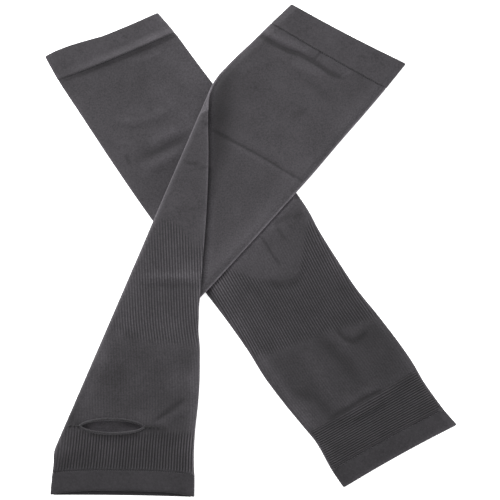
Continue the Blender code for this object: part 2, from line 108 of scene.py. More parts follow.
room = bpy.data.worlds.new("white_room")
room.use_nodes = True
sky = room.node_tree.nodes["Background"].inputs
sky["Color"].default_value = WHITE
sky["Strength"].default_value = ROOM_LIGHT
bpy.context.scene.world = room
bpy.context.scene.view_settings.view_transform = "Standard"

table_finish, table_shader = shader_material("white_table", TABLE_COLOUR, MATT)
table_shader.inputs["Emission Color"].default_value = WHITE
table_shader.inputs["Emission Strength"].default_value = TABLE_GLOW
quarters = ((-1, -1), (1, -1), (1, 1), (-1, 1))
corners = [(a * TABLE_HALF, b * TABLE_HALF, -TABLE_SINK) for a, b in quarters]
table_top = mesh_object("table_top", corners, [(0, 1, 2, 3)], table_finish)


# The under sleeve, a seamless knitted tube pressed flat: plain at the upper arm and forearm,
# ribbed round the elbow and finely ridged across the back of the hand. It is knitted in the
# round from dark grey nylon, so it has no side seam, and its ribs drift a little to one side.
WALL = 1.1
POCKET = 0.4
TUBE = 2 * WALL + POCKET
EDGE_TURN = 1.3
EDGE_PRESS = 0.42
PRESS_WIDTH = 6.0
SEAM_GAP = 0.02
SEAM_ROLL = 0.15
# Rolled ends: the angle where their round starts, and their rings.
ROLL_START = 0.12
ROLL_RINGS = 4
# Spacing of its rings, and how far its inner wall thins their points.
UNDER_STEP = 2.4
BODY_THINNING = 4

# Pale light on its long edges, shade in its folds and light in its pocket.
RIM_WIDTH = 1.8
EDGE_LIGHT = 0.3
EDGE_GLOW = 0.05
EDGE_GLOW_WIDTH = 9.0
RIM_LIGHT = 2.2
HOLLOW_SHADE = 0.42
FOLD_LIGHT = 0.26
POCKET_LIGHT = 0.22
# Painted light and shade of the knit at places along the sleeve, mostly darker towards the hand.
UNDER_TONE = (
    (20, -0.05), (60, -0.035), (100, 0.01), (190, 0.02), (225, 0), (250, -0.06),
    (300, -0.12), (338, -0.08), (352, 0.035),
)
# Soft light and shade on the cloth: from, to, reach and strength.
UNDER_LIGHTS = (
    ((-37, 123), (-50, 90), 15, 0.16),
    ((-67, 153), (-45, 133), 8, 0.08),
    ((-123, 114), (-112, 94), 9, 0.06),
    ((-78, 45), (-67, 7), 7, 0.07),
    ((30, 35), (-26, -29), 5, 0.15),
    ((-26, -27), (-11, -53), 9, 0.13),
    ((-11, -53), (66, -165), 5, 0.13),
    ((-67, 123), (-60, 112), 9, 0.09),
    ((4, -56), (23, -71), 8, 0.08),
    ((35, 34), (35, -9), 8, -0.06),
    ((26, -18), (28, -18), 5, -0.08),
    ((35, 42), (-27, -26), 1.8, 0.4),
    ((-22, -24), (0, -28), 7, 0.07),
    ((-125, 133), (-108, 140), 4, -0.09),
    ((34, -124), (40, -128), 6, 0.09),
    ((56, -135), (66, -136), 7, 0.06),
    ((-78, 90), (-76, 88), 6, 0.08),
    ((-45, 92), (-44, 86), 6, 0.07),
    ((92, -42), (103, -57), 5, 0.08),
    ((-67, 33), (-67, 10), 5, 0.07),
    ((90, -68), (113, -92), 14, -0.05),
    ((66, -148), (70, -145), 9, -0.06),
)

RIBS_ROUND = 100
POINTS_PER_RIB = 4
RIB_RISE = 0.45
RIB_FADE = 7.0
FAINT_RIB = 0.22
UNDER_FAINT_START = 180.0
FAINT_FADE = 40.0
PALM_RIB = 1.25
PALM_FADE = 8.0
PLAIN_ROW = 1.2
# Painted light on the ribs' crests, and painted shade in their valleys and in the hand's fine hollows.
RIB_CREST_LIGHT = 0.62
RIB_SHADOW = 0.76

# Matt grey nylon: its colour, its soft sheen, and the size and detail of its fuzz and clouds.
CLOTH_COLOUR = (0.0280, 0.0260, 0.0290, 1.0)
CLOTH_ROUGHNESS = 0.86
CLOTH_SHEEN = {
    "Specular IOR Level": 0.20,
    "Sheen Weight": 0.17,
    "Sheen Roughness": 0.42,
    "Sheen Tint": (0.80, 0.79, 0.82, 1.0),
}
FUZZ = {"Scale": 850.0, "Detail": 3.0, "Roughness": 0.65}
CLOUD = {"Scale": 45.0, "Detail": 4.0, "Roughness": 0.6}
# Its map counts ribs across and millimetres along, in hundredths.
KNIT_UV = 0.01
LOOP_SLANT = 0.5
LOOP_BASE = 0.35
FUZZ_RELIEF = 0.8
RIDGE_RELIEF = 3.0
CLOUD_SHADE = 0.7
FUZZ_SHADE = 1.5
SHADE_DROP = 0.1

UNDER_TOP = (-111.7, 161.7)
UNDER_WRIST = (112.4, -154.6)
UNDER_TOP_SEAM = 20.0
UNDER_WRIST_SEAM = 372.0
UNDER_END = 387.6
# Columns: place along, half width left, half width right, slant, bow, lip.
UNDER_ROWS = (
    (0, 44.1, 44.1, 0.25, 1.5, 0),
    (20, 46.2, 45.9, 0.23, 0.8, 0),
    (45, 47.1, 46.4, 0.21, 0, 0),
    (70, 48, 47.1, 0.2, 0, 0),
    (92, 48.7, 48, 0.19, 0, 0),
    (125, 49.3, 49.2, 0.18, 0, 0),
    (160, 49.1, 50.3, 0.15, 0, 0),
    (188, 48.9, 50.7, 0.13, 0, 0),
    (210, 48, 48.3, 0.11, 0, 0),
    (235, 47.2, 46.9, 0.1, 0, 0),
    (262, 47.3, 46.1, 0.1, 0, 0),
    (285, 48.7, 47.6, 0.1, 0, 0),
    (310, 48, 48.6, 0.1, 0, 0),
    (330, 46.6, 48.5, 0.1, 0, 0),
    (348, 45.4, 46.9, 0.11, 0, 0),
    (372, 47.8, 47.1, 0.12, -0.6, 0),
    (387.6, 48.1, 48.6, 0.11, -1.1, 0),
)
# Drift of the ribs round the sleeve at places along it.
UNDER_DRIFT = ((0, 0), (170, 0), (300, 12), (390, 12))
# Where the ribs start and end, at places across the sleeve.
UNDER_ELBOW_START = (
    (-48, 190), (-35, 193), (-20, 205), (-13, 215), (-4, 224.5), (5, 231.5),
    (16, 231.5), (25, 221), (34.5, 210), (46, 198.5),
)
UNDER_ELBOW_END = ((-46, 269), (-27, 274), (0, 278), (32, 285), (46, 288))
UNDER_PALM_START = ((-46, 334), (-10, 335), (46, 333))
PALM_PITCH = 1.75
# How far the upper left corner's edge is pulled out, and how far across that reaches.
UNDER_CORNER_PULL = 5.0
UNDER_CORNER_SIDE = 44.1
# The soft ridge above the top seam: height, reach up and down, trough, and share across it.
UNDER_RIDGE = 2.3
UNDER_RIDGE_WIDTH = 7.0
UNDER_RIDGE_DROP = 3.6
UNDER_DIP = 2.2
UNDER_RIDGE_SHARE = ((-46, 0.2), (-20, 0.5), (0, 0.8), (28, 1), (46, 0.6))
# Close rings for creases: from, to and spacing.
UNDER_FINE = ((20, 27, 0.9), (215, 236, 1.2), (282, 300, 1.2), (322, 350, 0.9))

# The over sleeve covers it between its fold and its lower edge, two straight lines.
FOLD_TOP = (-28.46, 124.0)
FOLD_BOTTOM = (-149.66, -156.0)
EDGE_TOP = (34.4, 43.0)
EDGE_BOTTOM = (-147.5, -156.2)
COVER_FADE = 5

# The deepest trough, and the share of a crease that fades at its ends: least, growth and most.
TROUGH_LIMIT = 0.34
CREASE_ENDS = (0.12, 0.06, 0.36)
# Soft troughs and ridges: rise, half width, then the path on the table.
UNDER_CREASES = (
    (0.8, 3.2, (-110, 101), (-100, 97), (-88, 96), (-76, 99), (-64, 104), (-56, 110)),
    (0.4, 2.5, (-97, 106), (-88, 103), (-79, 104), (-73, 108)),
    (0.35, 2.5, (-106, 85), (-99, 81), (-87, 79), (-78, 81)),
    (0.45, 2.5, (-90, 142), (-80, 142), (-73, 146), (-64, 148)),
    (0.7, 4, (-48, 93), (-64, 84), (-80, 75)),
    (-0.5, 4, (-38, 92), (-64, 77), (-90, 65)),
    (0.8, 4.5, (-46, 76), (-61, 69), (-75, 62), (-85, 57)),
    (-0.3, 1.5, (-94, 72), (-89, 63)),
    (0.5, 4, (3, 7), (10, -5), (17, -15)),
    (-0.4, 1.1, (7, 11), (11, 6), (15, -1), (18, -6), (24, -13)),
    (-0.3, 1.6, (19, 18), (27, 7)),
    (-0.25, 2, (15, 19), (24, 23), (32, 28)),
    (-0.3, 2, (31, 24), (41, 28)),
    (0.35, 3.5, (6, -17), (17, -18), (26, -18), (36, -15)),
    (-0.38, 3.4, (8, -21), (22, -26), (33, -23), (42, -16)),
    (-0.18, 5, (-8, -24), (3, -29), (13, -36)),
    (0.7, 3, (68, -58), (77, -62), (83, -59), (92, -50)),
    (-0.6, 2.2, (62, -56), (66, -62), (71, -67), (77, -68), (83, -65), (90, -57)),
    (0.6, 3.5, (56, -56), (62, -63), (68, -69), (75, -79)),
    (-0.3, 5, (42, -58), (51, -65), (62, -74), (73, -87), (81, -97), (86, -108)),
    (0.7, 5, (39, -68), (46, -84), (53, -100), (64, -116)),
    (-0.28, 4, (27, -104), (35, -107), (50, -111), (60, -124), (66, -131)),
    (0.5, 4.5, (34, -111), (41, -124), (46, -132)),
    (0.6, 3.5, (65, -117), (77, -112), (86, -106), (98, -101)),
    (-0.7, 1.8, (56, -128), (67, -122), (75, -118), (83, -112), (94, -107), (105, -104)),
    (1, 3, (62, -130), (75, -124), (88, -117), (101, -108), (116, -95)),
    (-0.4, 1.8, (74, -129), (83, -125), (90, -122), (104, -113)),
    (0.35, 4, (110, -140), (127, -134)),
    (-0.35, 4, (74, -164), (89, -157)),
    (-0.35, 4, (123, -135), (138, -127)),
)


def soft(value):
    """0 before 0, 1 after 1 and a smooth rise between them."""
    t = np.clip(value, 0.0, 1.0)
    return t * t * (3 - 2 * t)


def bell(value):
    """1 at 0, falling softly to 0 on both sides."""
    return np.exp(-(value**2))


def upper_side(height):
    """1 on the upper side of a sleeve that is spread out, 0 on its lower side."""
    return soft((height - WALL) / POCKET)


def lower_side(height):
    """1 on the lower side of a sleeve that is spread out, 0 on its upper side."""
    return soft((WALL + POCKET - height) / POCKET)


def read_pairs(pairs, at):
    """Straight-line reading of a short table of (place, value) rows."""
    return np.interp(at, [row[0] for row in pairs], [row[1] for row in pairs])


def read_rows(rows, along):
    """The columns of a section table at any places along a sleeve, read smoothly."""
    table = np.array(rows)
    at = table[:, 0]
    i = np.clip(np.searchsorted(at, along, side="right") - 1, 0, len(at) - 2)
    before = np.maximum(i - 1, 0)
    after = np.minimum(i + 2, len(at) - 1)
    span = at[i + 1] - at[i]
    t = np.clip((along - at[i]) / span, 0, 1)
    columns = []
    for values in table.T[1:]:
        start = values[i]
        end = values[i + 1]
        slope_in = (end - values[before]) / (at[i + 1] - at[before]) * span
        slope_out = (values[after] - start) / (at[after] - at[i]) * span
        columns.append(
            start * (2 * t**3 - 3 * t**2 + 1)
            + slope_in * (t**3 - 2 * t**2 + t)
            + end * (3 * t**2 - 2 * t**3)
            + slope_out * (t**3 - t**2)
        )
    return columns


def run_between(start, end):
    """Direction of a straight line on the table."""
    run = np.array(end) - np.array(start)
    return run / np.hypot(*run)


def on_line(down, across, start, end):
    """Places on the table at distances along a straight line and to the right of it."""
    run = run_between(start, end)
    return start[0] + run[0] * down - run[1] * across, start[1] + run[1] * down + run[0] * across


def from_line(x, y, start, end):
    """Distances along a straight line on the table and to the right of it."""
    run = run_between(start, end)
    x = x - start[0]
    y = y - start[1]
    return x * run[0] + y * run[1], y * run[0] - x * run[1]


def spread_out(rows, top, wrist, along, across, visible=0.0):
    """Place on the table of points of a sleeve that is spread out.

    The lip moves the end of its visible side alone, which opens its hem.
    """
    left, right, slant, bow, lip = read_rows(rows, along)
    half = np.where(across > 0, right, left)
    bowed = bow * (1 - (across / half) ** 2) + lip * visible * (1 - (across / half) ** 4)
    return on_line(along + slant * across + bowed, across, top, wrist)


def near_line(x, y, start, end):
    """How far along a short line places on the table lie, from 0 to 1, and how far off it."""
    run_x, run_y = end[0] - start[0], end[1] - start[1]
    share = ((x - start[0]) * run_x + (y - start[1]) * run_y) / (run_x**2 + run_y**2)
    share = np.clip(share, 0, 1)
    return share, np.hypot(x - start[0] - share * run_x, y - start[1] - share * run_y)


def crease_height(creases, x, y):
    """Sum of the soft ridges and troughs at places on the table, with no trough too deep."""
    total = np.zeros_like(x)
    least, more, most = CREASE_ENDS
    for rise, width, *path in creases:
        nearest = np.full_like(x, np.inf)
        place = np.zeros_like(x)
        done = 0.0
        for start, end in zip(path[:-1], path[1:]):
            share, off = near_line(x, y, start, end)
            length = math.dist(start, end)
            place = np.where(off < nearest, done + share * length, place)
            nearest = np.minimum(off, nearest)
            done += length
        share = place / done
        fade = soft(np.minimum(share, 1 - share) / min(least + more * width, most))
        total += rise * fade * bell(nearest / width)
    return np.where(total < 0, TROUGH_LIMIT * np.tanh(total / TROUGH_LIMIT), total)


def uncovered(x, y):
    """1 where the under sleeve is in sight and 0 where the over sleeve presses it flat."""
    _, past_fold = from_line(x, y, FOLD_TOP, FOLD_BOTTOM)
    _, past_edge = from_line(x, y, EDGE_TOP, EDGE_BOTTOM)
    return 1 - soft(np.minimum(past_fold, -past_edge) / COVER_FADE)


def under_ridge(along, across):
    """Height of the soft ridge along the seam under the under sleeve's top welt."""
    past = along - UNDER_TOP_SEAM
    before = soft(1 + past / UNDER_RIDGE_WIDTH)
    after = 1 - soft(past / UNDER_RIDGE_DROP)
    dip = -TROUGH_LIMIT * soft(past) * bell(past / UNDER_DIP - 1)
    share = read_pairs(UNDER_RIDGE_SHARE, across)
    return share * (UNDER_RIDGE * np.where(past < 0, before, after) + dip)


def under_place(along, across, height):
    """Points of the under sleeve in space, with creases in its upper side."""
    out = np.maximum(-across / UNDER_CORNER_SIDE, 0)
    along = along - UNDER_CORNER_PULL * out * (1 - out**2) * (1 - soft(along / UNDER_TOP_SEAM))
    x, y = spread_out(UNDER_ROWS, UNDER_TOP, UNDER_WRIST, along, across)
    raised = crease_height(UNDER_CREASES, x, y) * uncovered(x, y) + under_ridge(along, across)
    return x, y, height + upper_side(height) * raised


def placed(place, along, across, height):
    """Points in space of places on a sleeve."""
    return np.stack(place(*np.broadcast_arrays(along, across, height)), axis=-1)


def rings_between(start, end, step, rolls, fine=()):
    """Places of the rings of one tube, close together where it is creased or its ends round off."""
    first, last = rolls
    close = 1 - np.cos(np.linspace(ROLL_START, math.pi / 2, ROLL_RINGS + 1)[:-1])
    middle = [start + first]
    while middle[-1] < end - last:
        steps = [width for low, high, width in fine if low <= middle[-1] < high]
        middle.append(middle[-1] + min(steps + [step]))
    middle = np.array(middle)
    middle = start + first + (middle - middle[0]) * (end - last - middle[0]) / (middle[-1] - middle[0])
    return np.concatenate([start + first * close, middle, end - last * close[::-1]])


def flattened(share, left, right, low, high, turn):
    """Across and height of places round a flattened tube, from the left along its lower side."""
    half = (high - low) / 2
    flat = left + right - 2 * turn
    arc = math.pi * turn
    place = (share % 1) * 2 * (flat + arc)
    second = place >= flat + arc
    place = np.where(second, place - flat - arc, place)
    angle = np.clip((place - flat) / arc, 0, 1) * math.pi
    flat_place = np.minimum(place, flat)
    across = np.where(second, right - turn - flat_place, flat_place - left + turn)
    across = across + np.where(second, -turn, turn) * np.sin(angle)
    height = (low + high) / 2 + np.where(second, half, -half) * np.cos(angle)
    return across, height


def pressed(section, left, right):
    """A tube's section pressed thinner towards its two side edges, above its lower side."""
    across, height = section
    edge = np.minimum(left + across, right - across)
    thin = 1 - (1 - EDGE_PRESS) * (1 - soft(edge / PRESS_WIDTH))
    return across, height * thin


def tube_faces(ring_count, thin_rings, step):
    """Faces of a tube's outer wall, inner wall and ends, with each corner's column and ring."""
    count = RIBS_ROUND * POINTS_PER_RIB
    inside = ring_count * count
    thin_count = count // step
    # Columns: first point, points round, their spacing, rings, and a face's corners in order.
    walls = (
        (0, count, 1, range(ring_count), ((0, 0), (0, 1), (1, 1), (1, 0))),
        (inside, thin_count, step, thin_rings, ((0, 0), (1, 0), (1, 1), (0, 1))),
    )
    faces = []
    spots = []
    for first, columns, skip, rings, corners in walls:
        for i in range(len(rings) - 1):
            base = first + i * columns
            for j in range(columns):
                faces.append(tuple(base + b * columns + (j + a) % columns for a, b in corners))
                spots += [((j + a) * skip, rings[i + b]) for a, b in corners]
    for ring in (0, ring_count - 1):
        base = inside + (len(thin_rings) - 1) * thin_count * (ring > 0)
        for j in range(thin_count):
            fan = [(ring * count + (j * step + s) % count, j * step + s) for s in range(step + 1)]
            loop = [(base + j, j * step), *fan, (base + (j + 1) % thin_count, (j + 1) * step)]
            if ring:
                loop.reverse()
            faces.append(tuple(vertex for vertex, _ in loop))
            spots += [(column, ring) for _, column in loop]
    return faces, np.array(spots)


def tube_object(name, sleeve, rings, low, high, rolls, material, step, knit=None,
                edge_light=EDGE_LIGHT, pocket_light=POCKET_LIGHT):
    """A flattened knitted tube with a real wall, open at both ends and rounded there.

    The step thins the points of its inner wall. knit gives what the cloth shows at places on
    the tube, such as its ribs and its light, under the names of the attributes.
    """
    rows, place, drift = sleeve
    column = np.arange(RIBS_ROUND * POINTS_PER_RIB)[None, :]
    along = rings[:, None]
    left, right, *_ = read_rows(rows, along)
    share = column / column.size + read_pairs(drift, along) / (2 * (left + right))
    outer = flattened(share, left, right, low, high, EDGE_TURN)
    inner = flattened(share, left - WALL, right - WALL, WALL, WALL + POCKET, POCKET / 2)
    outer = pressed(outer, left, right)
    inner = pressed(inner, left, right)
    to_end = np.minimum((along - rings[0]) / rolls[0], (rings[-1] - along) / rolls[1])
    to_end = to_end + 1 - math.cos(ROLL_START)
    round_off = np.sqrt(np.maximum(1 - (1 - np.minimum(to_end, 1)) ** 2, 0))
    middles = [(a + b) / 2 for a, b in zip(outer, inner)]
    outer = [m + (a - m) * round_off for a, m in zip(outer, middles)]
    inner = [m + (a - m) * round_off for a, m in zip(inner, middles)]
    thin_rings = sorted(set(range(0, len(rings), step)) | {len(rings) - 1})
    outside = placed(place, along, *outer).reshape(-1, 3)
    inside = placed(place, along, *inner)[thin_rings][:, ::step].reshape(-1, 3)
    points = np.concatenate([outside, inside])
    faces, spots = tube_faces(len(rings), thin_rings, step)
    thing = mesh_object(name, points, faces, material)
    uv = np.stack([spots[:, 0] / POINTS_PER_RIB, rings[spots[:, 1]]], axis=-1) * KNIT_UV
    thing.data.uv_layers.new(name="knit").data.foreach_set("uv", uv.ravel())
    edge = np.minimum(left + outer[0], right - outer[0])
    labels = ("rim", "rib_height", "rib_valley", "cross_ridges", "fold_height")
    looks = {label: np.zeros_like(edge) for label in labels}
    # Painted light along the long edges, in the rim attribute, which carries all the cloth's painted
    # light and shade.
    looks["rim"] += edge_light * (1 - soft(edge / RIM_WIDTH))
    looks["rim"] += EDGE_GLOW * (1 - soft(edge / EDGE_GLOW_WIDTH))
    if knit:
        wide = along + np.zeros_like(share)
        for label, values in knit(wide, *outer, column / POINTS_PER_RIB).items():
            looks[label] += values
    for label in ("rib_height", "rib_valley"):
        looks[label] *= soft(to_end - 1)
    # The inner wall's points take the pocket's painted light or shade.
    for label, values in looks.items():
        shown = np.full(len(points), pocket_light if label == "rim" else 0.0)
        shown[:values.size] = values.ravel()
        thing.data.attributes.new(label, "FLOAT", "POINT").data.foreach_set("value", shown)
    return thing


def zone_share(along, across, start, end):
    """1 inside a zone of the sleeve and 0 outside, fading at its rims."""
    into = along - read_pairs(start, across)
    left_over = read_pairs(end, across) - along
    return soft(0.5 + np.minimum(into, left_over) / RIB_FADE)


def ribbed(share, number):
    """Height of the ribs, whole on a crest, and of the valleys between them."""
    wave = 0.5 + 0.5 * np.cos(2 * math.pi * number)
    return {"rib_height": share * wave, "rib_valley": share * (1 - wave)}


def cloth_light(lights, x, y):
    """Soft light and shade on the cloth, each spread round a short line."""
    total = np.zeros_like(x)
    for start, end, reach, light in lights:
        total += light * bell(near_line(x, y, start, end)[1] / reach)
    return total


def under_knit(along, across, height, number):
    """Ribs at the elbow, faint wales on the forearm, fine ridges across the hand, and painted light and
    shade.
    """
    upper = upper_side(height)
    hand = upper * soft((along - read_pairs(UNDER_PALM_START, across)) / PALM_FADE)
    hand = hand * soft((UNDER_WRIST_SEAM - PLAIN_ROW - along) / PLAIN_ROW)
    elbow = zone_share(along, across, UNDER_ELBOW_START, UNDER_ELBOW_END)
    faint = FAINT_RIB * soft((along - UNDER_FAINT_START) / FAINT_FADE)
    looks = ribbed(upper * np.maximum(elbow, faint) * (1 - hand), number)
    x, y = spread_out(UNDER_ROWS, UNDER_TOP, UNDER_WRIST, along, across)
    looks["cross_ridges"] = PALM_RIB * hand
    # Painted light and shade: the tone along the sleeve and soft patches of light and shade on its side
    # that faces up.
    looks["rim"] = read_pairs(UNDER_TONE, along) + upper * cloth_light(UNDER_LIGHTS, x, y)
    looks["fold_height"] = crease_height(UNDER_CREASES, x, y) * upper
    return looks


def add_node(tree, kind, inputs=None, **settings):
    """A node of a tree with its settings. Values, nodes or sockets feed its inputs."""
    made = tree.nodes.new(kind)
    for setting, value in settings.items():
        setattr(made, setting, value)
    for socket, value in (inputs or {}).items():
        if isinstance(value, bpy.types.Node):
            value = value.outputs[0]
        if isinstance(value, bpy.types.NodeSocket):
            tree.links.new(value, made.inputs[socket])
        else:
            made.inputs[socket].default_value = value
    return made


def shape_tree(name, sizes):
    """A geometry tree with a geometry input, named sizes and a material input."""
    tree = bpy.data.node_groups.new(name, "GeometryNodeTree")
    tree.interface.new_socket("Geometry", in_out="INPUT", socket_type="NodeSocketGeometry")
    for size, value in sizes.items():
        kind = "NodeSocketInt" if isinstance(value, int) else "NodeSocketFloat"
        socket = tree.interface.new_socket(size, in_out="INPUT", socket_type=kind)
        socket.default_value = value
    tree.interface.new_socket("Finish", in_out="INPUT", socket_type="NodeSocketMaterial")
    tree.interface.new_socket("Geometry", in_out="OUTPUT", socket_type="NodeSocketGeometry")
    return tree, add_node(tree, "NodeGroupInput")


def finish_tree(tree, source, shape):
    """Ends a tree in plain geometry with its material."""
    plain = add_node(tree, "GeometryNodeRealizeInstances", {"Geometry": shape})
    inputs = {"Geometry": plain, "Material": source.outputs["Finish"]}
    finished = add_node(tree, "GeometryNodeSetMaterial", inputs)
    add_node(tree, "NodeGroupOutput", {"Geometry": finished})


def keep_shape(thing):
    """Makes an object's modifiers its plain mesh."""
    shapes = bpy.context.evaluated_depsgraph_get()
    made = bpy.data.meshes.new_from_object(thing.evaluated_get(shapes))
    thing.modifiers.clear()
    thing.data = made
    made.shade_smooth()


def apply_tree(thing, tree, sizes, finish):
    """Runs a geometry tree on an object and keeps the result as its plain mesh."""
    modifier = thing.modifiers.new(tree.name, "NODES")
    modifier.node_group = tree
    for item in tree.interface.items_tree:
        if item.in_out == "INPUT" and item.name in sizes:
            modifier[item.identifier] = sizes[item.name]
        if item.in_out == "INPUT" and item.name == "Finish":
            modifier[item.identifier] = finish
    keep_shape(thing)


def rib_tree():
    """Raises the knitted ribs out of the cloth along its normals."""
    tree, source = shape_tree("raised_ribs", {"Rise": RIB_RISE * MM})
    share = add_node(tree, "GeometryNodeInputNamedAttribute", {"Name": "rib_height"})
    factors = {0: share, 1: source.outputs["Rise"]}
    rise = add_node(tree, "ShaderNodeMath", factors, operation="MULTIPLY")
    push = {0: add_node(tree, "GeometryNodeInputNormal"), "Scale": rise}
    offset = add_node(tree, "ShaderNodeVectorMath", push, operation="SCALE")
    inputs = {"Geometry": source.outputs["Geometry"], "Offset": offset}
    finish_tree(tree, source, add_node(tree, "GeometryNodeSetPosition", inputs))
    return tree


def knit_finish(name, colour, wale, course, relief):
    """Matt nylon jersey: columns of small V loops with soft fuzz, uneven tone, and painted light and
    shade.
    """
    material, shader = shader_material(name, colour, CLOTH_ROUGHNESS)
    tree = material.node_tree
    for socket, value in CLOTH_SHEEN.items():
        shader.inputs[socket].default_value = value
    places = add_node(tree, "ShaderNodeUVMap", uv_map="knit")
    parts = add_node(tree, "ShaderNodeSeparateXYZ", {"Vector": places})
    grain = add_node(tree, "ShaderNodeTexCoord").outputs["Object"]

    def maths(operation, first, second=0.0):
        return add_node(tree, "ShaderNodeMath", {0: first, 1: second}, operation=operation)

    def noise(sizes):
        return add_node(tree, "ShaderNodeTexNoise", {"Vector": grain, **sizes})

    def shown(label):
        return add_node(tree, "ShaderNodeAttribute", attribute_name=label).outputs["Fac"]

    # The V loops, whose legs slant to their middle.
    column = maths("MULTIPLY", parts.outputs["X"], 1 / (KNIT_UV * wale))
    row = maths("MULTIPLY", parts.outputs["Y"], 1 / (KNIT_UV * course))
    leg = maths("MULTIPLY", maths("PINGPONG", column, 0.5), 2.0)
    loop = maths("PINGPONG", maths("ADD", row, maths("MULTIPLY", leg, LOOP_SLANT)), 0.5)
    round_leg = maths("SINE", maths("MULTIPLY", leg, math.pi))
    stitch = maths("MULTIPLY", round_leg, maths("ADD", loop, LOOP_BASE))
    fuzz = noise(FUZZ)
    turn = maths("MULTIPLY", parts.outputs["Y"], 2 * math.pi / (KNIT_UV * PALM_PITCH))
    hollow = maths("SUBTRACT", 0.5, maths("MULTIPLY", maths("COSINE", turn), 0.5))
    hollow = maths("MULTIPLY", hollow, shown("cross_ridges"))
    height = maths("ADD", stitch, maths("MULTIPLY", fuzz, FUZZ_RELIEF))
    height = maths("SUBTRACT", height, maths("MULTIPLY", hollow, RIDGE_RELIEF))
    sizes = {"Height": height, "Distance": relief * MM, "Strength": 1.0}
    bump = add_node(tree, "ShaderNodeBump", sizes)
    tree.links.new(bump.outputs["Normal"], shader.inputs["Normal"])

    # Its colour: uneven, with painted shade in hollows and troughs, painted light on crests and ridges,
    # and the painted light and shade held in the rim attribute.
    folds = shown("fold_height")
    shade = maths("MULTIPLY", noise(CLOUD), CLOUD_SHADE)
    shade = maths("ADD", shade, maths("MULTIPLY", fuzz, FUZZ_SHADE))
    shade = maths("SUBTRACT", shade, SHADE_DROP)
    lights = (
        (maths("MAXIMUM", shown("rib_valley"), hollow), -RIB_SHADOW),
        (shown("rib_height"), RIB_CREST_LIGHT),
        (maths("MAXIMUM", maths("MULTIPLY", folds, -1 / TROUGH_LIMIT), 0.0), -HOLLOW_SHADE),
        (maths("MAXIMUM", folds, 0.0), FOLD_LIGHT),
        (shown("rim"), RIM_LIGHT),
    )
    for amount, light in lights:
        shade = maths("MULTIPLY", shade, maths("ADD", 1.0, maths("MULTIPLY", amount, light)))
    tint = add_node(tree, "ShaderNodeVectorMath", {0: colour[:3], "Scale": shade}, operation="SCALE")
    tree.links.new(tint.outputs["Vector"], shader.inputs["Base Color"])
    return material


def lens_outline(centre, extra, count):
    """Outline of a thumb slot as along and across, larger by extra all round."""
    angle = np.arange(count) * 2 * math.pi / count
    across = (SLOT_LENGTH / 2 + extra) * np.cos(angle)
    bulge = (SLOT_WIDTH / 2 + extra) * np.sin(angle) * np.abs(np.sin(angle)) ** SLOT_POINTED
    return centre[0] + SLOT_SLANT * across + bulge, centre[1] + across


def face_outwards(thing):
    """Turns the faces of a closed mesh outwards."""
    shape = bmesh.new()
    shape.from_mesh(thing.data)
    bmesh.ops.recalc_face_normals(shape, faces=shape.faces)
    shape.to_mesh(thing.data)
    shape.free()


def cut_slot(body, place, centre):
    """Cuts the thumb slot through the lower side of a sleeve, from outside to its pocket."""
    count = CUT_POINTS
    along, across = lens_outline(centre, CUT_MARGIN, count)
    along = np.append(along, centre[0])
    across = np.append(across, centre[1])
    ends = [placed(place, along, across, height) for height in (-CUT_DEPTH, WALL + POCKET / 2)]
    faces = []
    for k in range(count):
        after = (k + 1) % count
        faces.append((k, after, count + 1 + after, count + 1 + k))
        faces.append((after, k, count))
        faces.append((count + 1 + k, count + 1 + after, 2 * count + 1))
    cutter = mesh_object("slot_cutter", np.concatenate(ends), faces, cloth)
    face_outwards(cutter)
    cut = body.modifiers.new("thumb_slot", "BOOLEAN")
    cut.operation = "DIFFERENCE"
    cut.solver = "EXACT"
    cut.object = cutter
    keep_shape(body)
    bpy.data.objects.remove(cutter, do_unlink=True)


def dress(thing, node):
    """A finished piece takes its node's place on the sleeve."""
    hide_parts(node)
    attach(thing, "root")


def knitted_tube(name, node, sleeve, seams, step, fine, slot, knit, **lights):
    """The tube of a sleeve between its two seams, with its ribs raised and its slot cut."""
    start, end = seams
    rings = rings_between(start + half_gap, end - half_gap, step, body_rolls, fine)
    body = tube_object(
        name, sleeve, rings, 0.0, TUBE, body_rolls, cloth, BODY_THINNING, knit, **lights
    )
    apply_tree(body, ribs_out, {"Rise": RIB_RISE * MM}, cloth)
    cut_slot(body, sleeve[1], slot)
    dress(body, node)
    return body


# Width of a wale in ribs, and height of a course and relief in millimetres.
JERSEY_KNIT = (0.5, 0.8, 0.09)
SLOT_LENGTH = 45.0
SLOT_WIDTH = 8.6
SLOT_SLANT = 0.035
SLOT_POINTED = 0.25
CUT_MARGIN = 1.0
CUT_DEPTH = 2.0
CUT_POINTS = 72
UNDER_SLOT = (338.0, 6.0)

under_sleeve = (UNDER_ROWS, under_place, UNDER_DRIFT)
cloth = knit_finish("grey_jersey", CLOTH_COLOUR, *JERSEY_KNIT)
ribs_out = rib_tree()
half_gap = SEAM_GAP / 2
body_rolls = (SEAM_ROLL, SEAM_ROLL)
under_body = knitted_tube(
    "under_sleeve_tube", "under_sleeve_body", under_sleeve, (UNDER_TOP_SEAM, UNDER_WRIST_SEAM),
    UNDER_STEP, UNDER_FINE, UNDER_SLOT, under_knit,
)


# Turned welts of the under sleeve. The knit is doubled back on itself at each opening and
# linked down with a row of small stitches, so the band stands a little above the sleeve.
WELT_RISE = 0.4
WELT_STEP = 1.5
WELT_THINNING = 2
HEM_ROLL = 1.2
SOFT_EDGE_LIGHT = EDGE_LIGHT / 2
UNDER_MOUTH_SHADE = -0.3
WELT_COLOUR = (0.0275, 0.0255, 0.0285, 1.0)
CUFF_COLOUR = (0.0190, 0.0176, 0.0198, 1.0)
PALE_THREAD_COLOUR = (0.0260, 0.0245, 0.0270, 1.0)
WELT_KNIT = (0.5, 0.7, 0.07)

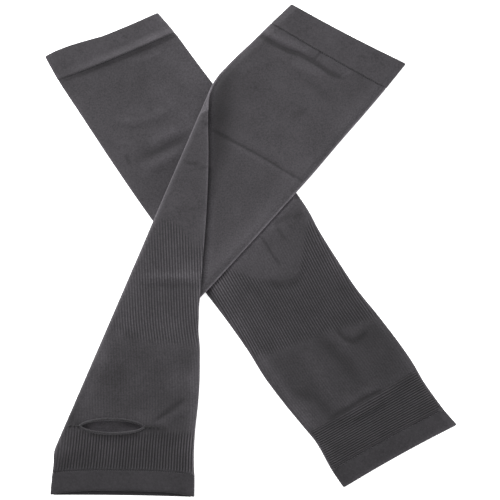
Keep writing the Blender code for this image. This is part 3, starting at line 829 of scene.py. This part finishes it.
# Light on the soft ridge above the top seam, and how the welt grows lighter across.
RIDGE_LIGHT = 0.09
RIDGE_PLACE = 2.4
RIDGE_WIDTH = 1.8
WELT_SLOPE = 0.0014
# Light along its wrist hem, and how far that reaches.
UNDER_HEM_LIGHT = 0.28
UNDER_HEM_REACH = 2.5

# Its stitches: their sizes, height, margin at the edges and unevenness.
FINE_STITCH = {"Pitch": 1.8 * MM, "Length": 0.8 * MM, "Thickness": 0.4 * MM}
PALE_STITCH = {"Pitch": 2.4 * MM, "Length": 1.6 * MM, "Thickness": 0.55 * MM}
FINE_HEIGHT = TUBE - 0.1
PALE_HEIGHT = TUBE + 0.35
SEAM_MARGIN = 2.2
SEAM_POINTS = 60
LEAST_STITCH = 0.8
MOST_STITCH = 1.2

welt_cloth = knit_finish("welt_jersey", WELT_COLOUR, *WELT_KNIT)
cuff_cloth = knit_finish("cuff_jersey", CUFF_COLOUR, *WELT_KNIT)
pale_thread, _ = shader_material("pale_thread", PALE_THREAD_COLOUR, MATT)
top_rolls = (HEM_ROLL, SEAM_ROLL)
wrist_rolls = (SEAM_ROLL, HEM_ROLL)


def stitch_tree():
    """Lays small rounded stitches along a path, at a pitch and a turn from its direction."""
    tree, source = shape_tree("stitch_row", {**FINE_STITCH, "Turn": 0.0, "Seed": 3})
    given = source.outputs
    path = add_node(tree, "GeometryNodeMeshToCurve", {"Mesh": given["Geometry"]})
    spacing = {"Curve": path, "Length": given["Pitch"]}
    places = add_node(tree, "GeometryNodeResampleCurve", spacing, mode="LENGTH")
    ball = add_node(tree, "GeometryNodeMeshUVSphere", {"Segments": 6, "Rings": 4, "Radius": 0.5})
    tangent = {"Vector": add_node(tree, "GeometryNodeInputTangent")}
    facing = add_node(
        tree, "FunctionNodeAlignRotationToVector", tangent, axis="X", pivot_axis="Z"
    )
    around = add_node(tree, "ShaderNodeCombineXYZ", {"Z": given["Turn"]})
    turn = add_node(tree, "FunctionNodeEulerToRotation", {"Euler": around})
    turning = {"Rotation": facing, "Rotate By": turn}
    turned = add_node(tree, "FunctionNodeRotateRotation", turning, rotation_space="LOCAL")
    lengths = {"X": given["Length"], "Y": given["Thickness"], "Z": given["Thickness"]}
    size = add_node(tree, "ShaderNodeCombineXYZ", lengths)
    limits = {2: LEAST_STITCH, 3: MOST_STITCH, "Seed": given["Seed"]}
    uneven = add_node(tree, "FunctionNodeRandomValue", limits, data_type="FLOAT").outputs[1]
    scale = add_node(tree, "ShaderNodeVectorMath", {0: size, "Scale": uneven}, operation="SCALE")
    row = {"Points": places, "Instance": ball, "Rotation": turned, "Scale": scale}
    finish_tree(tree, source, add_node(tree, "GeometryNodeInstanceOnPoints", row))
    return tree


stitches = stitch_tree()


def stitched(name, points, sizes, finish):
    """A row of stitches along a path, as a piece of the sleeve."""
    edges = [(k, k + 1) for k in range(len(points) - 1)]
    thing = mesh_object(name, points, [], edges=edges)
    apply_tree(thing, stitches, sizes, finish)
    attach(thing, "root")
    return thing


def sewn(name, sleeve, seam, height, sizes, thread):
    """The row of stitches that links a welt down, across one side of its sleeve."""
    rows, place, _ = sleeve
    left, right, *_ = read_rows(rows, np.array([seam]))
    across = np.linspace(SEAM_MARGIN - left[0], right[0] - SEAM_MARGIN, SEAM_POINTS)
    return stitched(name, placed(place, seam, across, height), sizes, thread)


def welt(name, node, sleeve, span, rolls, rise, finish, **lights):
    """A turned welt between its seam and its end, thicker on its side that faces up."""
    rings = rings_between(*span, WELT_STEP, rolls)
    heights = (min(rise, 0.0), TUBE + max(rise, 0.0))
    band = tube_object(name, sleeve, rings, *heights, rolls, finish, WELT_THINNING, **lights)
    dress(band, node)
    return band


def ridge_light(along, across, height, number):
    """Light along the ridge above the top seam, on the side that faces up."""
    near = bell((UNDER_TOP_SEAM - along - RIDGE_PLACE) / RIDGE_WIDTH)
    upper = upper_side(height) * read_pairs(UNDER_RIDGE_SHARE, across)
    return {"rim": RIDGE_LIGHT * near * upper + WELT_SLOPE * across}


def hem_light(end, light, reach):
    """Light or shade along the hem where a sleeve ends, for its welt."""
    def along_hem(along, across, height, number):
        return {"rim": light * bell((end - along) / reach)}

    return along_hem


under_top = welt(
    "under_sleeve_top_band", "under_sleeve_top_welt", under_sleeve,
    (0.0, UNDER_TOP_SEAM - half_gap), top_rolls, WELT_RISE, welt_cloth, knit=ridge_light,
)
under_wrist = welt(
    "under_sleeve_wrist_band", "under_sleeve_wrist_welt", under_sleeve,
    (UNDER_WRIST_SEAM + half_gap, UNDER_END), wrist_rolls, WELT_RISE, cuff_cloth,
    knit=hem_light(UNDER_END, UNDER_HEM_LIGHT, UNDER_HEM_REACH),
    edge_light=SOFT_EDGE_LIGHT, pocket_light=UNDER_MOUTH_SHADE,
)
under_top_stitches = sewn(
    "under_sleeve_top_stitches", under_sleeve, UNDER_TOP_SEAM, FINE_HEIGHT, FINE_STITCH,
    pale_thread,
)
under_wrist_stitches = sewn(
    "under_sleeve_wrist_stitches", under_sleeve, UNDER_WRIST_SEAM, PALE_HEIGHT, PALE_STITCH,
    pale_thread,
)


# Overcast edge of the under sleeve's thumb slot, on the side that lies down. The raw edge of
# the knit is rolled and wrapped all round with close stitches of the same yarn.
BINDING_WIDTH = 2.5
BINDING_COLOUR = (0.0275, 0.0260, 0.0285, 1.0)
BINDING_KNIT = (0.5, 0.6, 0.06)
BINDING_POINTS = 120
BINDING_SIDES = 10

binding_yarn = knit_finish("binding_yarn", BINDING_COLOUR, *BINDING_KNIT)


def binding_object(name, place, centre, inner, outer):
    """A rounded band round a thumb slot, between two heights of the cloth."""
    sides = BINDING_SIDES
    rings = []
    for k in range(sides):
        angle = 2 * math.pi * k / sides
        extra = BINDING_WIDTH / 2 * (1 + math.cos(angle))
        height = (inner + outer) / 2 + abs(outer - inner) / 2 * math.sin(angle)
        rings.append(placed(place, *lens_outline(centre, extra, BINDING_POINTS), height))
    faces = []
    for i in range(BINDING_POINTS):
        after = (i + 1) % BINDING_POINTS
        for j in range(sides):
            k = (j + 1) % sides
            faces.append((i * sides + j, i * sides + k, after * sides + k, after * sides + j))
    thing = mesh_object(name, np.stack(rings, axis=1).reshape(-1, 3), faces, binding_yarn)
    face_outwards(thing)
    thing.data.uv_layers.new(name="knit")
    return thing


under_binding = binding_object("under_sleeve_slot_edge", under_place, UNDER_SLOT, WALL, 0.0)
dress(under_binding, "under_sleeve_thumb_binding")


# The over sleeve, a tube of the same knit. It crosses the under sleeve, is folded once along
# a long diagonal and comes back over itself, so its ribs and its thumb slot face up below.
# At the fold the cloth turns in a soft roll, which stands higher at the fold's top.
LIFT_GAP = 0.1
OVER_LIFT = TUBE + RIB_RISE + LIFT_GAP
OVER_STEP = 2.5
DRAPE_START = 2.0
DRAPE_WIDTH = 26.0
FOLD_GAP = 0.5
CORNER_RISE = 3.0
CORNER_REACH = 100.0
DROP_START = 3.0
DROP_WIDTH = 24.0
TAIL_END = 375.0
TAIL_FADE = 20.0
# How its creases fade at the fold, and how much sooner those on top do.
CREASE_FADE = 4.0
CREASE_LEAD = 3
# The small facet at the fold's top: its lower line, softness, depth and width.
FACET_LEFT = (-37.2, 101.8)
FACET_RIGHT = (-29.8, 105.6)
FACET_STEP = 0.8
FACET_DROP = 2.2
FACET_WIDTH = 9.0

FLAT_RIB = 0.85
OVER_FAINT_START = 190.0
# How far past the fold its ribs begin, and how they grow from its left rim inwards.
TURN_FADE = 3
RIM_RIB = 0.35
RIM_RIB_WIDTH = 14

# Painted shadow beside its turned half: a line, its distance, width, shade and start.
HEM_SHADOW = ((-27, 126), (-30, 60))
HEM_PLACE = 7.0
HEM_WIDTH = 8.0
HEM_SHADE = 0.16
HEM_FROM = 38.0
HEM_FADE = 40.0
# Soft light and shade on its flat half and on its turned half.
OVER_UPPER_LIGHTS = (
    ((-21, 105), (9, 150), 14, -0.07),
    ((-22, 80), (-23, 40), 8, -0.02),
    ((84, 124), (88, 122), 8, -0.08),
    ((38, 48), (9, 18), 8, 0.06),
    ((-4, 7), (-33, -15), 8, 0.1),
    ((-28, 37), (-32, -23), 3, 0.12),
    ((-32, 0), (-34, -25), 4, 0.08),
    ((101, 146), (103, 144), 5, -0.06),
    ((0, 110), (12, 122), 9, -0.05),
    ((-29, 123), (-30, 65), 2.5, 0.22),
)
OVER_LOWER_LIGHTS = (
    ((-63, -23), (-35, -19), 10, 0.08),
    ((-45, 18), (-45, 12), 8, -0.05),
    ((-38, -38), (-42, -173), 5, 0.12),
    ((-127, -131), (-64, -134), 2.5, -0.12),
    ((-116, -137), (-86, -138), 3, -0.1),
    ((-42, -98), (-42, -173), 6, 0.08),
    ((-109, -71), (-124, -113), 5, 0.12),
    ((-131, -154), (-112, -146), 9, 0.1),
    ((-67, -146), (-44, -147), 8, 0.08),
    ((-42, -120), (-42, -173), 4, 0.1),
    ((-44, -12), (-38, -40), 8, 0.06),
    ((-90, -101), (-56, -101), 8, 0.06),
    ((-134, -124), (-131, -126), 5, -0.09),
    ((-112, -78), (-113, -82), 5, 0.09),
    ((-108, -137), (-75, -137), 5, -0.06),
)
# The lighter band inside its lower edge.
BAND_PLACE = 9.0
BAND_WIDTH = 6.0
BAND_LIGHT = 0.06
# Light along the long edges of its flat half and of its turned half.
UPPER_EDGE_LIGHT = 1.0
LEFT_EDGE_SHARE = 0.5
TURNED_EDGE_LIGHT = 0.40
# Light on the fold's roll, where it starts and grows, and on the facet.
ROLL_LIGHT = 0.40
ROLL_FROM = 0.7
ROLL_FADE = 0.25
FACET_LIGHT = 0.22

OVER_TOP = (74.3, 162.1)
OVER_WRIST = (-208.5, -134.0)
OVER_TOP_SEAM = 22.5
OVER_WRIST_SEAM = 393.0
OVER_END = 409.6
# Its rows, its tone and the rest are read as for the under sleeve.
OVER_ROWS = (
    (0, 46.9, 46.2, -0.29, 1, 0),
    (22.5, 48, 48.2, -0.25, 0.5, 0),
    (45, 48.7, 49.7, -0.2, 0, 0),
    (70, 49.7, 51, -0.12, 0, 0),
    (95, 48.8, 52.8, 0, 0, 0),
    (120, 46.9, 53.5, 0, 0, 0),
    (150, 48.2, 54.4, 0, 0, 0),
    (180, 48.4, 55.1, 0, 0, 0),
    (210, 48, 55.8, 0, 0, 0),
    (245, 47.2, 55.7, 0, 0, 0),
    (277, 46.9, 55.8, 0, 0, 0),
    (300, 49.1, 55.8, 0, 0, 0),
    (330, 50, 55.8, 0, 0, 0),
    (360, 48.6, 55.6, 0, 0, 0),
    (376, 48.7, 55.7, 0.02, -0.3, -1),
    (393, 50, 56.6, 0.04, -0.6, -2.1),
    (409.6, 50.8, 57.3, 0.04, -0.6, -3.2),
)
# Painted light and shade of the knit at places along the sleeve.
OVER_TONE = (
    (190, 0), (215, 0.04), (240, 0.06), (288, 0.07), (300, -0.05), (335, -0.1),
    (358, -0.1), (368, -0.045),
)
OVER_DRIFT = ((0, 0), (190, 0), (300, -12), (350, -16), (410, -14))
OVER_ELBOW_START = (
    (-48, 218), (-41, 220), (-32, 210), (-25, 202.5), (-17, 201),
    (-6, 204), (4, 212),
)
OVER_ELBOW_END = ((-48, 294), (-12, 293.5), (2, 291.5), (16, 286.5), (40, 284))
OVER_PALM_START = ((-50, 359), (-25, 360), (11, 364), (40, 361.5), (54, 359.5))
OVER_PALM_END = ((-50, 398), (50, 398))
OVER_SLOT = (357.8, 13.8)
OVER_FINE = ((22.5, 42, 0.8), (95, 128, 0.8), (235, 250, 1.2), (345, 365, 1.2))
OVER_UPPER_CREASES = (
    (0.35, 3.5, (-15, 88), (9, 75), (33, 61)),
    (-0.6, 1.3, (-34, 93), (-1, 75), (15, 66), (24, 60), (35, 54), (45, 48)),
    (0.6, 3.5, (-21, 82), (4, 68), (26, 56), (42, 47)),
    (0.7, 7, (47, 50), (23, 27), (4, 9), (-15, -7), (-39, -28)),
    (1.2, 3, (6, 167), (18, 160), (26, 156), (35, 152), (50, 145)),
    (-1.2, 1.6, (0, 166), (16, 156), (23, 152), (30, 149), (37, 147), (46, 142), (59, 133), (74, 127)),
    (0.5, 3.5, (6, 153), (30, 141), (56, 126)),
    (0.7, 4, (29, 142), (41, 136), (51, 133), (62, 126)),
    (0.25, 1.2, (38, 148), (47, 152)),
    (-0.3, 1, (47, 142), (54, 149)),
    (0.25, 1.2, (54, 139), (60, 145)),
    (0.3, 1, (68, 129), (77, 134)),
    (0.3, 3, (-11, 133), (4, 139), (20, 145)),
    (-0.18, 3, (29, 98), (44, 107)),
    (-0.2, 4, (36, 128), (47, 124), (54, 118), (66, 112)),
)
OVER_LOWER_CREASES = (
    (-0.3, 1, (-40, 93), (-29, 95)),
    (-0.35, 1.2, (-52, 67), (-42, 64), (-31, 61)),
    (0.9, 3.2, (-86, -20), (-65, -20), (-52, -20), (-32, -20)),
    (-0.22, 3, (-88, -26), (-64, -26), (-51, -26), (-30, -26)),
    (-0.25, 5, (-97, -61), (-90, -65), (-82, -70)),
    (-0.25, 7, (-74, -82), (-56, -88)),
    (-0.18, 9, (-92, -84), (-104, -108)),
    (0.5, 5, (-46, -87), (-43, -113)),
    (-0.5, 2, (-76, -131), (-63, -122), (-47, -110)),
    (0.6, 3, (-71, -134), (-58, -125), (-42, -113)),
    (0.6, 8, (-70, -70), (-58, -92), (-55, -112)),
    (1.2, 13, (-147, -130), (-60, -133)),
)


def outside_under_sleeve(x, y):
    """Distance outside the under sleeve's two long edges, negative within."""
    down, across = from_line(x, y, UNDER_TOP, UNDER_WRIST)
    slant = read_rows(UNDER_ROWS, down)[2]
    left, right, *_ = read_rows(UNDER_ROWS, down - slant * across)
    return np.maximum(-across - left, across - right)


def over_fold(along, across, height):
    """Points of the over sleeve round its fold, with how far each is turned over.

    Also gives the height of the roll's middle, how far past the turn and inside the fold's
    left rim each point lies, and whether it belongs to the small facet at the fold's top.
    """
    x, y = spread_out(OVER_ROWS, OVER_TOP, OVER_WRIST, along, across, lower_side(height))
    down, inside = from_line(x, y, FOLD_TOP, FOLD_BOTTOM)
    middle = TUBE + (FOLD_GAP + CORNER_RISE * (1 - soft(down / CORNER_REACH))) / 2
    past = middle - inside
    roll = middle - TUBE / 2
    turned = np.clip(past / roll, 0, math.pi)
    round_fold = (middle - height) * np.sin(turned)
    sideways = np.where(past <= 0, past, np.where(turned < math.pi, round_fold, math.pi * roll - past))
    inside = middle - sideways
    x, y = on_line(down, inside, FOLD_TOP, FOLD_BOTTOM)
    z = middle - (middle - height) * np.cos(turned)
    _, above = from_line(x, y, FACET_LEFT, FACET_RIGHT)
    facet = soft(above / FACET_STEP) * (1 - np.cos(turned)) / 2
    z = z - FACET_DROP * facet * (1 - soft(inside / FACET_WIDTH))
    return x, y, z, middle, turned, past - math.pi * roll, inside, facet


def over_creases(x, y, height, beyond):
    """Height of the creases in the over sleeve's two sides that face up."""
    top = upper_side(height) * (1 - soft(beyond / CREASE_FADE + CREASE_LEAD))
    back = lower_side(height) * soft(beyond / CREASE_FADE)
    return top * crease_height(OVER_UPPER_CREASES, x, y) + back * crease_height(OVER_LOWER_CREASES, x, y)


def over_place(along, across, height):
    """Points of the over sleeve: flat, round the fold, then flat on its own upper half."""
    x, y, z, middle, turned, beyond, _, _ = over_fold(along, across, height)
    folded = (1 - np.cos(turned)) / 2
    _, past_edge = from_line(x, y, EDGE_TOP, EDGE_BOTTOM)
    held = 1 - soft((past_edge - DROP_START) / DROP_WIDTH)
    held = held * (1 - soft((along - TAIL_END) / TAIL_FADE))
    lift = OVER_LIFT * (1 - soft((outside_under_sleeve(x, y) - DRAPE_START) / DRAPE_WIDTH))
    z = z + lift - folded * (1 - held) * (2 * middle - TUBE)
    return x, y, z + over_creases(x, y, height, beyond)


def over_knit(along, across, height, number):
    """Ribs at the elbow and the palm on the side turned up, and painted light and shade, such as light
    along the fold's rim.
    """
    x, y, _, _, turned, beyond, inside, facet = over_fold(along, across, height)
    lower = lower_side(height)
    turned_share = turned / math.pi
    turned_up = soft(1 + beyond / TURN_FADE) * lower
    flat_half = upper_side(height) * soft(-beyond / CREASE_FADE - 1)
    elbow = FLAT_RIB * zone_share(along, across, OVER_ELBOW_START, OVER_ELBOW_END)
    palm = PALM_RIB * zone_share(along, across, OVER_PALM_START, OVER_PALM_END)
    faint = FAINT_RIB * soft((along - OVER_FAINT_START) / FAINT_FADE)
    beside_fold = RIM_RIB + (1 - RIM_RIB) * soft(inside / RIM_RIB_WIDTH)
    looks = ribbed(turned_up * np.maximum(np.maximum(elbow, palm), faint) * beside_fold, number)

    roll = ROLL_LIGHT * soft((np.sin(turned) - ROLL_FROM) / ROLL_FADE)
    left, right, *_ = read_rows(OVER_ROWS, along)
    left_share = LEFT_EDGE_SHARE + (1 - LEFT_EDGE_SHARE) * turned_share
    left_side = left_share * (1 - soft((left + across) / RIM_WIDTH))
    side = np.maximum(left_side, 1 - soft((right - across) / RIM_WIDTH))
    side_light = TURNED_EDGE_LIGHT + (UPPER_EDGE_LIGHT - TURNED_EDGE_LIGHT) * (1 - turned_share)
    _, past_edge = from_line(x, y, EDGE_TOP, EDGE_BOTTOM)
    band = bell((past_edge + BAND_PLACE) / BAND_WIDTH)
    _, past_hem = from_line(x, y, *HEM_SHADOW)
    shaded = bell((past_hem - HEM_PLACE) / HEM_WIDTH)
    shaded = shaded * soft((y - HEM_FROM) / HEM_FADE)
    # Painted light and shade: tone along the sleeve, light on the fold's roll, facet and edges, a light
    # band inside the lower edge, soft patches, and shadow beside the turned half.
    looks["rim"] = (
        read_pairs(OVER_TONE, along)
        + lower * np.maximum(roll, FACET_LIGHT * facet)
        + side * side_light
        + BAND_LIGHT * band * (1 - lower) * (1 - turned_share)
        + flat_half * (cloth_light(OVER_UPPER_LIGHTS, x, y) - HEM_SHADE * shaded)
        + turned_up * cloth_light(OVER_LOWER_LIGHTS, x, y)
    )
    looks["fold_height"] = over_creases(x, y, height, beyond)
    return looks


over_sleeve = (OVER_ROWS, over_place, OVER_DRIFT)
over_body = knitted_tube(
    "over_sleeve_tube", "over_sleeve_body", over_sleeve, (OVER_TOP_SEAM, OVER_WRIST_SEAM),
    OVER_STEP, OVER_FINE, OVER_SLOT, over_knit, edge_light=0.0,
)


# Turned welts of the over sleeve, doubled and linked down in the same way. The upper one
# faces up as it was knitted, and the wrist one is turned over with the lower half.
OVER_MOUTH_SHADE = -0.12
OVER_HEM_SHADE = -0.14
OVER_HEM_REACH = 1.5
SEAM_COLOUR = (0.0070, 0.0065, 0.0075, 1.0)
SEAM_STITCH = {"Pitch": 1.75 * MM, "Length": 0.9 * MM, "Thickness": 0.8 * MM}
SEAM_RISE = 0.15

seam_finish, _ = shader_material("seam_thread", SEAM_COLOUR, MATT)
over_top = welt(
    "over_sleeve_top_band", "over_sleeve_top_welt", over_sleeve,
    (0.0, OVER_TOP_SEAM - half_gap), top_rolls, WELT_RISE, welt_cloth,
    edge_light=SOFT_EDGE_LIGHT,
)
over_wrist = welt(
    "over_sleeve_wrist_band", "over_sleeve_wrist_welt", over_sleeve,
    (OVER_WRIST_SEAM + half_gap, OVER_END), wrist_rolls, -WELT_RISE, cuff_cloth,
    knit=hem_light(OVER_END, OVER_HEM_SHADE, OVER_HEM_REACH), pocket_light=OVER_MOUTH_SHADE,
)
over_top_stitches = sewn(
    "over_sleeve_top_stitches", over_sleeve, OVER_TOP_SEAM, TUBE + SEAM_RISE, SEAM_STITCH,
    seam_finish,
)
over_wrist_stitches = sewn(
    "over_sleeve_wrist_stitches", over_sleeve, OVER_WRIST_SEAM, -SEAM_RISE, SEAM_STITCH,
    seam_finish,
)


# Overcast edge of the over sleeve's thumb slot, which faces up, and the short rows of
# stitches that close the knit at each end of the slot.
BINDING_RISE = 0.6
OVERCAST_STITCH = {"Pitch": 0.9 * MM, "Length": 2.2 * MM, "Thickness": 0.5 * MM, "Turn": 1.4}
THREAD_COLOUR = (0.0030, 0.0030, 0.0034, 1.0)
TACK_START = 2.5
TACK_LENGTHS = {"outer": 9.0, "inner": 6.5}
TACK_POINTS = 12
TACK_HEIGHT = -0.45
TACK_STITCH = {"Pitch": 2.8 * MM, "Length": 1.7 * MM, "Thickness": 1.1 * MM}

over_binding = binding_object("over_sleeve_slot_edge", over_place, OVER_SLOT, WALL, -BINDING_RISE)
dress(over_binding, "over_sleeve_thumb_binding")

once_round = lens_outline(OVER_SLOT, BINDING_WIDTH / 2, BINDING_POINTS)
once_round = placed(over_place, *once_round, -BINDING_RISE)
over_overcast = stitched(
    "over_sleeve_slot_stitches", np.concatenate([once_round, once_round[:1]]), OVERCAST_STITCH,
    binding_yarn,
)

thread_finish, _ = shader_material("dark_thread", THREAD_COLOUR, MATT)
for name, reach in (("outer", -1), ("inner", 1)):
    steps = TACK_START + np.linspace(0.0, TACK_LENGTHS[name], TACK_POINTS)
    across = OVER_SLOT[1] + reach * (SLOT_LENGTH / 2 + steps)
    along = OVER_SLOT[0] + SLOT_SLANT * (across - OVER_SLOT[1])
    row = placed(over_place, along, across, TACK_HEIGHT)
    title = f"over_sleeve_slot_{name}_tack"
    stitched(title, row, TACK_STITCH, thread_finish)
